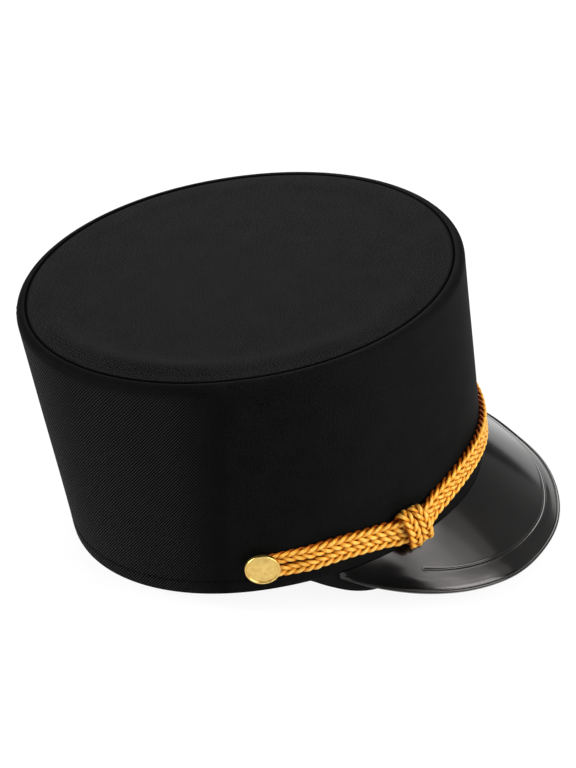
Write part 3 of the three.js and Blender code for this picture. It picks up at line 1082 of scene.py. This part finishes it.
@dataclass
class Visor:
    """Moulded visor with a beaded edge and an engraved line that stops short of its ends.

    The edge's points, the line's insets, the section's rows, the bead's width and the rise of each
    ridge are in millimetres. A row of line_inset is a share from the front to an end and an inset.
    """

    end_angle: float = math.radians(76)
    end_drop: Triple = (0.3 * MM, -0.5 * MM, -3 * MM)
    end_crowding: float = math.pi * 0.42
    sections: int = 121
    line_end_sections: int = 15
    inner_rows: int = 13
    outer_rows: int = 8
    back_rows: int = 11
    thickness: float = 1.8 * MM
    bulge: float = 0.02
    line_width: float = 1.45 * MM
    line_depth: float = 0.44 * MM
    line_floor: float = 0.2
    line_least: float = 0.2
    line_end: float = 0.688
    line_end_rows: Span = (-0.012, 0.016)
    half_run: float = 148 * MM
    full_reach: float = 24 * MM
    bead_rise: float = 0.85 * MM
    bead_width: float = 1.56
    edge: tuple[Triple, ...] = (
        (0, -141.2, 1.18),
        (26.0, -137.6, 1.28),
        (49.2, -126.6, 1.7),
        (69.5, -110.6, 3.9),
        (82.0, -88.0, 5.9),
        (87.2, -63.6, 9.0),
        (86.3, -40.0, 12.9),
    )
    line_inset: Table = Table((
        (0, 11.2), (0.15, 10.9), (0.28, 11.3), (0.42, 12.2), (0.6, 12.1), (1, 12.0),
    ))
    line_rows: Row = (2.1, 1.75, 1.45, 1.2, 1.02, 0.9, 0.82, 0.75, 0.68, 0.6, 0.5, 0.35, 0.18)
    bead_rows: Row = (2.4, 2.1, 1.9, 1.75, 1.6, 1.45, 1.3, 1.1, 0.85, 0.6, 0.35, 0.16, 0.04)
    turn_rows: Triple = (0.15, 0.5, 1.2)
    edge_drops: Row = (0.25, 0.8, 1.35, 1.68)
    line_lips: Ridge = Ridge(1.4, 0.4, 0.07)
    channel: Ridge = Ridge(1.8, 0.28, -0.16)
    crowned: Ridge = Ridge(0.5, 0.3, 0.22)
    gloss: VisorGloss = VisorGloss()

    def root(self, share: Array) -> Array:
        """Points where the visor meets the crown, by share from the front to an end."""
        inset = (FORM.wall - self.thickness) / 2
        return on_hat(share * self.end_angle, -GAP, inset)

    def rim_points(self, share: Array) -> Array:
        """Free edge, on a centripetal curve through its set-out points.

        Args:
            share: Places from end to end, -1 to 1.

        Returns:
            One point for each place.
        """
        left = np.array(self.edge) * MM + (0, STANCE.back, 0)
        left = np.vstack([left, self.root(np.array(1.0)) + self.end_drop])
        knots = np.vstack([(left * (-1, 1, 1))[:0:-1], left])
        knots = np.vstack([2 * knots[0] - knots[1], knots, 2 * knots[-1] - knots[-2]])
        place = (share + 1) / 2 * (len(knots) - 3)
        i = np.clip(place.astype(int), 0, len(knots) - 4)
        t = (place - i)[:, None]
        p0, p1, p2, p3 = (knots[i + k] for k in range(4))
        pairs = ((p0, p1), (p1, p2), (p2, p3))
        d0, d1, d2 = (np.linalg.norm(b - a, axis=-1, keepdims=True) ** 0.5 for a, b in pairs)
        lean1 = ((p1 - p0) / d0 - (p2 - p0) / (d0 + d1) + (p2 - p1) / d1) * d1
        lean2 = ((p2 - p1) / d1 - (p3 - p1) / (d1 + d2) + (p3 - p2) / d2) * d1
        square = -3 * p1 + 3 * p2 - 2 * lean1 - lean2
        cube = 2 * p1 - 2 * p2 + lean1 + lean2
        return p1 + lean1 * t + square * t**2 + cube * t**3

    def face(self, share: Array, depth: Array) -> Array:
        """Points of the outer face.

        Args:
            share: Places from end to end, -1 to 1.
            depth: Places from root to edge, 0 to 1, by share and station.

        Returns:
            Points by share and station.
        """
        step = 1e-4
        root = self.root(share)
        reach = self.rim_points(share) - root
        run = self.rim_points(np.clip(share + step, -1, 1)) - self.rim_points(np.clip(share - step, -1, 1))
        out = unit(np.cross(reach, run))
        lift = self.bulge * np.linalg.norm(reach, axis=-1)[:, None] * 4 * depth * (1 - depth)
        return root[:, None] + reach[:, None] * depth[..., None] + out[:, None] * lift[..., None]

    def normal(self, share: Array, depth: Array) -> Array:
        """Outward directions of the outer face.

        Args:
            share: Places from end to end, -1 to 1.
            depth: Places from root to edge, 0 to 1, by share and station.

        Returns:
            Directions by share and station.
        """
        step = 0.02
        middle = np.clip(share, step - 1, 1 - step)
        across = self.face(middle + step, depth) - self.face(middle - step, depth)
        down = self.rim_points(middle) - self.root(middle)
        return unit(np.cross(np.broadcast_to(down[:, None], across.shape), across))

    def build(self) -> None:
        """Extrude the section from end to end and lay it on the visor's form."""
        even = np.sin(np.linspace(-1, 1, self.sections) * self.end_crowding) / math.sin(self.end_crowding)
        before, after = self.line_end_rows
        near_end = np.linspace(self.line_end + before, self.line_end + after, self.line_end_sections)
        share = np.unique(np.concatenate([even, near_end, -near_end]))
        reach = np.linalg.norm(self.rim_points(share) - self.root(share), axis=-1)
        inward, over = self.section(share, reach[:, None])
        depth = 1 - inward / reach[:, None]
        places = self.face(share, depth) + self.normal(share, depth) * over[..., None]
        piece = Bench.sleeve("visor_shell", places)
        dress(piece, self.gloss.material(), Slot.VISOR, "visor")

    def section(self, share: Array, reach: Array) -> tuple[Array, Array]:
        """Sections of the visor from its root over the edge and back underneath.

        Args:
            share: Places from end to end.
            reach: Distance from root to edge at each, as a column.

        Returns:
            Distance in from the edge and height over the outer face, by place and station.
        """
        narrow = np.minimum(1.0, reach / self.full_reach)
        small = narrow * MM
        line = self.line_inset.at(np.abs(share))[:, None] * small
        half_cut = np.array(self.line_rows)
        cut = line + np.concatenate([half_cut, [0.0], -half_cut[::-1]]) * small
        inner = cut[:, :1] + (reach - cut[:, :1]) * np.linspace(1, 0, self.inner_rows)[:-1]
        beaded = np.array(self.bead_rows) * small
        outer = cut[:, -1:] + (beaded[:, :1] - cut[:, -1:]) * np.linspace(0, 1, self.outer_rows)[1:-1]
        top = np.concatenate([inner, cut, outer, beaded], axis=1)
        past_end = np.maximum(np.abs(share) - self.line_end, 0)[:, None] * self.half_run
        half_line = self.line_width / 2 * np.maximum(narrow, self.line_least)
        away = np.hypot(top - line, past_end) / half_line
        groove = -self.line_depth * narrow * (1 - ease(away, self.line_floor, 1.0))
        from_edge = top / small
        round_off = np.clip(1 - (2 * from_edge / self.bead_width - 1) ** 2, 0, 1)
        bead = self.bead_rise * narrow * np.sqrt(round_off)
        foot = self.channel.middle * small
        crowned = self.crowned.at((top - foot) / (line - foot)) * (top < line)
        over = groove + bead + small * (self.line_lips.at(away) + self.channel.at(from_edge) + crowned)
        turned = np.array(self.turn_rows) * small
        back = turned[:, -1:] + (reach - turned[:, -1:]) * np.linspace(0, 1, self.back_rows)[1:]
        under = np.concatenate([np.zeros_like(turned), turned, back], axis=1)
        drop = np.full(under.shape, -self.thickness)
        drop[:, : len(self.edge_drops)] = -np.array(self.edge_drops) * MM
        return np.concatenate([top, under], axis=1), np.concatenate([over, drop], axis=1)


@dataclass(frozen=True)
class Strand:
    """Mesh of one strand: points, faces, UV spots and how proud each point stands, which sets its painted
    highlight and shade.
    """

    points: Array
    quads: Array
    ends: tuple[Array, Array]
    spots: Array
    crest_light: Array
    girth: float


@dataclass(frozen=True)
class Route:
    """Way that a plait takes: its middle, the way it faces, and its share of full size."""

    middle: Array
    out: Array
    wide: Array
    thick: Array


@dataclass(frozen=True)
class Plait:
    """Flat plait of strands that cross to and fro over one another."""

    count: int = 5
    width: float = 7 * MM
    thickness: float = 4 * MM
    pitch: float = 23 * MM
    strand_width: float = 2.15 * MM
    strand_thickness: float = 1.65 * MM
    sides: int = 10
    uneven: float = 0.045
    uneven_run: float = 5.3 * MM
    uneven_turn: float = 2.1

    def strand(self, route: Route, index: int, lay: int, phase: float) -> Strand:
        """One strand of the plait.

        Args:
            route: Way of the whole plait.
            index: Which strand, from 0.
            lay: 1 if the plait's arrows open along the route, -1 if against it.
            phase: Start of the pattern along the route, in radians.

        Returns:
            The strand as a closed tube.
        """
        run = lengths(route.middle)
        across = unit(np.cross(route.out, np.gradient(route.middle, axis=0)))
        turn = lay * (math.tau * run / self.pitch + phase) + math.tau * index / self.count
        sway = (self.width - self.strand_width) / 2 * route.wide * np.sin(turn)
        lift = (self.thickness - self.strand_thickness) / 2 * route.thick * np.sin(2 * turn)
        line = route.middle + across * sway[:, None] + route.out * lift[:, None]
        ahead = unit(np.gradient(line, axis=0))
        out = unit(route.out - ahead * np.sum(route.out * ahead, axis=-1, keepdims=True))
        side = np.cross(ahead, out)
        uneven = 1 + self.uneven * np.sin(run / self.uneven_run + self.uneven_turn * index + phase)
        half_wide = self.strand_width / 2 * route.wide * uneven
        half_thick = self.strand_thickness / 2 * route.thick * uneven
        around = np.arange(self.sides) / self.sides * math.tau
        flat = np.cos(around)[None, :, None] * (side * half_wide[:, None])[:, None]
        high = np.sin(around)[None, :, None] * (out * half_thick[:, None])[:, None]
        points = line[:, None] + flat + high
        # How proud each point stands in the plait, which sets the thread's painted highlight and painted
        # shade.
        deep = self.thickness * route.thick[:, None]
        level = 0.5 + (lift[:, None] + np.sin(around) * half_thick[:, None]) / deep
        girth = math.pi * (self.strand_width + self.strand_thickness) / 2
        spots = np.stack(np.broadcast_arrays(lengths(line)[:, None], around / math.tau * girth), axis=-1)
        quads, ends = self.net(len(run))
        return Strand(points.reshape(-1, 3), quads, ends, spots.reshape(-1, 2), level.ravel(), girth)

    def net(self, rows: int) -> tuple[Array, tuple[Array, Array]]:
        """Faces of a tube.

        Args:
            rows: How many rows of points the tube has.

        Returns:
            Its quads and its two end faces.
        """
        i, j = np.meshgrid(np.arange(rows - 1), np.arange(self.sides), indexing="ij")
        k = (j + 1) % self.sides
        here, there = i * self.sides, (i + 1) * self.sides
        quads = np.stack([here + j, here + k, there + k, there + j], axis=-1)
        first = np.arange(self.sides)[::-1]
        last = np.arange(self.sides) + (rows - 1) * self.sides
        return quads.reshape(-1, 4), (first, last)

    def strands(self, route: Route, lay: int, phase: float) -> list[Strand]:
        """All the strands along a route."""
        return [self.strand(route, index, lay, phase) for index in range(self.count)]


@dataclass
class Braid:
    """Gold braid from button to button: two plaits, held together by a knot at each side.

    Angles and spans along the braid are in degrees from the front or from its end. A row of height
    is degrees from the front and the height of the braid's middle over the rim in millimetres.
    """

    plait: Plait = Plait()
    end_angle: float = 93.2
    end_thick: float = 0.55
    end_thin_span: Span = (6, 11)
    end_wide: float = 0.93
    end_narrow_span: Span = (0, 6)
    samples: int = 640
    height: Table = Table((
        (0, 18.5), (10, 18.9), (18, 19.7), (26, 19.7), (33, 18.8), (39, 17.2), (45, 15.0), (54, 12.2),
        (60, 13.1), (66, 14.7), (72, 16.2), (78, 16.7), (86, 16.1), (100, 16.3),
    ))
    seat: float = -0.3 * MM
    closeness: float = 0.97
    lower_phase: float = 1.1
    part: float = 1.1 * MM
    part_span: Span = (-22, -4)
    knot_angle: float = 54.0
    knot_flare: Ridge = Ridge(54.0, 13, 0.09)
    knot_bow_span: Span = (4, 10)
    knot_back: float = 1.5 * MM
    knot_pitch: float = 6.6 * MM
    knot_slant: float = 0.6
    knot_loose: float = 0.6 * MM
    knot_turn: Span = (-0.1 * math.pi, 4.1 * math.pi)
    knot_samples: int = 250
    knot_behind: Span = (0.05, 0.8)
    knot_thinning: float = 0.62
    knot_tightening: float = 0.1
    knot_squareness: float = 0.8
    knot_phase: float = 0.4
    thread: GoldThread = GoldThread()

    def middle_height(self, angles: Array) -> Array:
        """Height of the braid's middle over the rim, by radians from the front."""
        return self.height.at(np.degrees(np.abs(angles))) * MM

    def route(self, level: int) -> Route:
        """Way of one plait.

        Args:
            level: 1 for the upper plait, -1 for the lower.

        Returns:
            The way from end to end.
        """
        degrees = np.linspace(-self.end_angle, self.end_angle, self.samples)
        angles = np.radians(degrees)
        aside = np.abs(degrees)
        to_end = self.end_angle - aside
        thick = self.end_thick + (1 - self.end_thick) * ease(to_end, *self.end_thin_span)
        wide = self.end_wide + (1 - self.end_wide) * ease(to_end, *self.end_narrow_span)
        wide *= 1 + self.knot_flare.at(aside)
        bow = 1 - ease(np.abs(aside - self.knot_angle), *self.knot_bow_span)
        off = self.seat + bow * (self.knot_back + 2 * GAP) + self.plait.thickness / 2 * thick
        parted = self.part * ease(-to_end, *self.part_span) * (level < 0)
        apart = level * self.plait.width / 2 * wide * self.closeness
        heights = self.middle_height(angles) + apart - parted
        middle = on_hat(angles, heights, -off)
        out = unit(on_hat(angles, heights, -off - MM) - middle)
        return Route(middle, out, wide, thick)

    def band(self, material: Material) -> None:
        """Both plaits, which run opposite ways as one doubled cord does.

        Args:
            material: The thread's finish.
        """
        upper = self.plait.strands(self.route(1), 1, 0.0)
        lower = self.plait.strands(self.route(-1), -1, self.lower_phase)
        dress(Bench.woven("braid_plaits", upper + lower), material, Slot.BRAID, "braid")

    def knot(self, side: Side, material: Material) -> None:
        """Knot of the same plait, wound twice round the braid.

        Args:
            side: The wearer's side that it is on.
            material: The thread's finish.
        """
        turn = np.linspace(*self.knot_turn, self.knot_samples)
        forward = self.knot_pitch * (turn / math.tau - 1 - self.knot_slant * np.sin(turn) / math.tau)
        angles = math.radians(self.knot_angle) - forward / FORM.rim.half_length
        behind = ease(np.cos(turn), *self.knot_behind)
        thick = 1 - self.knot_thinning * behind
        half = self.plait.thickness / 2
        core = half + GAP
        half_deep = core + half * thick + self.knot_loose * (1 - behind)
        half_tall = self.plait.width + GAP + half * (1 - self.knot_tightening * behind) + self.knot_loose
        centre = GAP + self.knot_back + core
        flip = np.array([side.value, 1, 1])

        def spot(grow: float) -> Array:
            """Set out the winding.

            Args:
                grow: How far to grow it outwards.

            Returns:
                Points along the winding.
            """
            out = -np.cos(turn) * (half_deep + grow)
            rise = np.sign(np.sin(turn)) * np.abs(np.sin(turn)) ** self.knot_squareness
            heights = self.middle_height(angles) + rise * (half_tall + grow)
            return on_hat(angles, heights, -centre - out) * flip

        middle = spot(0.0)
        route = Route(middle, unit(spot(MM) - middle), np.ones_like(turn), thick)
        name = side.name.lower()
        strands = self.plait.strands(route, side.value, self.knot_phase)
        dress(Bench.woven(f"knot_plait_{name}", strands), material, Slot.BRAID, f"braid_knot_{name}")

    def build(self) -> None:
        """Make the thread once, then the band and its knots."""
        material = self.thread.material()
        self.band(material)
        for side in Side:
            self.knot(side, material)


@dataclass
class Button:
    """Gilt button: shank, flat back, raised rim and a plain low dome."""

    angle: float = math.radians(94.9)
    height: float = 17 * MM
    radius: float = 8.5 * MM
    sides: int = 72
    back: float = 2.9 * MM
    edge: float = 1.5 * MM
    dome: float = 1.5 * MM
    dome_rings: int = 12
    dome_share: float = 0.97
    shank: float = 2.2 * MM
    rim_chamfer: float = 0.25 * MM
    rim_rise: float = 0.35 * MM
    rim_crest: float = 0.6 * MM
    rim_slope: float = 0.3 * MM
    rim_fall: float = 0.5 * MM
    soft_edge: float = 0.16 * MM
    soft_angle: float = math.radians(28)
    soft_segments: int = 3
    flatness: float = 0.99
    gilt: GiltBrass = GiltBrass()

    def turned(self, name: str) -> Piece:
        """Turn the button about Z, its seat at the origin.

        Args:
            name: Name of the piece.

        Returns:
            The piece.
        """
        cylinder = bpy.ops.mesh.primitive_cylinder_add
        form = {"vertices": self.sides, "radius": self.radius, "depth": self.edge}
        piece = Bench.start(name, cylinder, location=(0, 0, self.back + self.edge / 2), **form)
        bpy.ops.object.transform_apply(location=True)
        Bench.edit(piece)
        self.pick(piece, 1)
        self.step(self.rim_chamfer, self.rim_rise)
        bpy.ops.mesh.inset(thickness=self.rim_crest)
        self.step(self.rim_slope, -self.rim_fall)
        flat = self.radius - self.rim_chamfer - self.rim_crest - self.rim_slope
        steps = np.linspace(0, 1, self.dome_rings + 1)
        for here, there in zip(steps[:-1], steps[1:]):
            rise = there * (2 - there) - here * (2 - here)
            self.step(flat * self.dome_share * (there - here), self.dome * rise)
        bpy.ops.mesh.poke()
        self.pick(piece, -1)
        bpy.ops.mesh.inset(thickness=self.radius - self.shank)
        bpy.ops.mesh.extrude_region_move(TRANSFORM_OT_translate={"value": (0, 0, -self.back)})
        Bench.close()
        bevel = piece.modifiers.new("soft_edges", "BEVEL")
        bevel.width = self.soft_edge
        bevel.segments = self.soft_segments
        bevel.limit_method = "ANGLE"
        bevel.angle_limit = self.soft_angle
        bpy.context.view_layer.objects.active = piece
        bpy.ops.object.modifier_apply(modifier=bevel.name)
        return piece

    @staticmethod
    def step(inset: float, rise: float) -> None:
        """Inset the selected face and raise it."""
        bpy.ops.mesh.inset(thickness=inset)
        bpy.ops.transform.translate(value=(0, 0, rise))

    def pick(self, piece: Piece, way: int) -> None:
        """Select only the outermost flat face.

        Args:
            piece: The piece, open in edit mode.
            way: 1 for the upper face, -1 for the lower.
        """
        bpy.ops.mesh.select_all(action="DESELECT")
        bpy.ops.object.mode_set(mode="OBJECT")
        faces = [face for face in piece.data.polygons if face.normal.z * way > self.flatness]
        max(faces, key=lambda face: face.center.z * way).select = True
        bpy.ops.object.mode_set(mode="EDIT")
        bpy.ops.mesh.select_mode(type="FACE")

    def build(self, side: Side, material: Material) -> None:
        """Turn a button and seat it on the wall over the end of the braid.

        Args:
            side: The wearer's side that it is on.
            material: The metal's finish.
        """
        name = side.name.lower()
        piece = self.turned(f"gilt_button_{name}")
        angle = np.array(side.value * self.angle)
        seat = on_hat(angle, self.height, -GAP)
        above = on_hat(angle, self.height + MM, -GAP) - seat
        run = on_hat(angle + STEP, self.height, 0.0) - on_hat(angle - STEP, self.height, 0.0)
        out = unit(np.cross(run, above))
        right = unit(run)
        axes = np.stack([right, np.cross(out, right), out])
        Bench.lay(piece, seat + Bench.points(piece) @ axes)
        dress(piece, material, Slot.BUTTON, f"button_{name}")


@dataclass(frozen=True)
class SoftLight:
    """One square studio light: where it hangs, its side and its power."""

    name: str
    place: Triple
    side: float
    watts: float


@dataclass
class Studio:
    """Pale floor, soft lights and the camera."""

    eye: Triple = (-1.10697, 0.07019, 0.83224)
    aim: Triple = (0.00016, 0.00772, 0.0693)
    lens: float = 128.65
    sensor: float = 36.0
    shift: Span = (0.01108, 0.0083)
    nearest: float = 0.01
    floor_size: float = 14.0
    floor_shades: Span = (0.10, 0.12)
    glow: float = 0.90
    sky: float = 0.06
    backdrop: float = 0.95
    lit_spot: Triple = (0, 0, 0.07)
    lights: tuple[SoftLight, ...] = (
        SoftLight("key", (1.9, 0.1, 1.3), 1.5, 42.0),
        SoftLight("front_core", (-0.59, -1.02, 1.25), 0.45, 0.8),
        SoftLight("front_mid", (-0.62, -1.06, 1.27), 0.95, 3.9),
        SoftLight("front_wrap", (-0.50, -1.14, 1.33), 1.4, 4.3),
        SoftLight("front_high", (-0.29, -0.718, 1.487), 0.6, 3.6),
        SoftLight("front_side", (-0.88, -1.0, 1.06), 0.55, 1.5),
        SoftLight("front_card", (0.88, -2.18, 1.17), 2.6, 6.3),
        SoftLight("front_low", (-1.05, -1.444, 0.68), 1.0, 22.0),
        SoftLight("rear", (-0.1, 1.9, 0.8), 0.8, 50.0),
        SoftLight("fill", (-2.5, 0.6, 1.2), 1.5, 10.0),
    )

    def build(self) -> None:
        """Set up the floor, the lights and the camera."""
        self.floor()
        self.world()
        for light in self.lights:
            self.hang(light)
        self.camera()
        bpy.context.scene.view_settings.view_transform = "Standard"

    def floor(self) -> None:
        """Pale light table."""
        floor = Bench.start("studio_floor", bpy.ops.mesh.primitive_plane_add, size=self.floor_size)
        board = Board(
            "floor_paper", Specular_IOR_Level=0.1, Roughness=0.9,
            Emission_Color=(1, 1, 1, 1), Emission_Strength=self.glow,
        )
        grain = board.noise(board.coords("Object"), scale=40.0, detail=4.0)
        low, high = self.floor_shades
        shade = board.ramp(grain, ((0.0, (low, low, low)), (1.0, (high, high, high))))
        floor.data.materials.append(board.feed(Base_Color=shade))

    def world(self) -> None:
        """Even light from all round, with a white backdrop."""
        world = bpy.data.worlds.new("studio_sky")
        bpy.context.scene.world = world
        world.use_nodes = True
        tree = world.node_tree
        sky = tree.nodes["Background"]
        backdrop = tree.nodes.new("ShaderNodeBackground")
        seen = tree.nodes.new("ShaderNodeLightPath")
        mix = tree.nodes.new("ShaderNodeMixShader")
        tree.links.new(seen.outputs["Is Camera Ray"], mix.inputs["Fac"])
        for index, (light, strength) in enumerate(((sky, self.sky), (backdrop, self.backdrop)), 1):
            light.inputs["Color"].default_value = (1, 1, 1, 1)
            light.inputs["Strength"].default_value = strength
            tree.links.new(light.outputs["Background"], mix.inputs[index])
        tree.links.new(mix.outputs["Shader"], tree.nodes["World Output"].inputs["Surface"])

    def hang(self, light: SoftLight) -> None:
        """Hang one light and turn it to the hat.

        Args:
            light: The light to hang.
        """
        bpy.ops.object.light_add(type="AREA", location=light.place)
        lamp = bpy.context.object
        lamp.name = light.name
        lamp.data.size = light.side
        lamp.data.energy = light.watts
        lamp.visible_camera = False
        away = Vector(light.place) - Vector(self.lit_spot)
        lamp.rotation_euler = away.to_track_quat("Z", "Y").to_euler()

    def camera(self) -> None:
        """Camera at the photograph's viewing angle."""
        bpy.ops.object.camera_add(location=self.eye)
        camera = bpy.context.object
        view = Vector(self.aim) - Vector(self.eye)
        camera.rotation_euler = view.to_track_quat("-Z", "Y").to_euler()
        camera.data.lens = self.lens
        camera.data.sensor_width = self.sensor
        camera.data.shift_x, camera.data.shift_y = self.shift
        camera.data.clip_start = self.nearest
        bpy.context.scene.camera = camera


def main() -> None:
    """Build the hat piece by piece and set it in the studio."""
    logging.basicConfig(level=logging.INFO, format="%(name)s %(message)s")
    Studio().build()
    crown = Crown()
    crown.side()
    crown.panel()
    crown.stitches()
    Sweatband().build()
    Visor().build()
    Braid().build()
    button = Button()
    gilt = button.gilt.material()
    for side in Side:
        button.build(side, gilt)


if __name__ == "__main__":
    main()
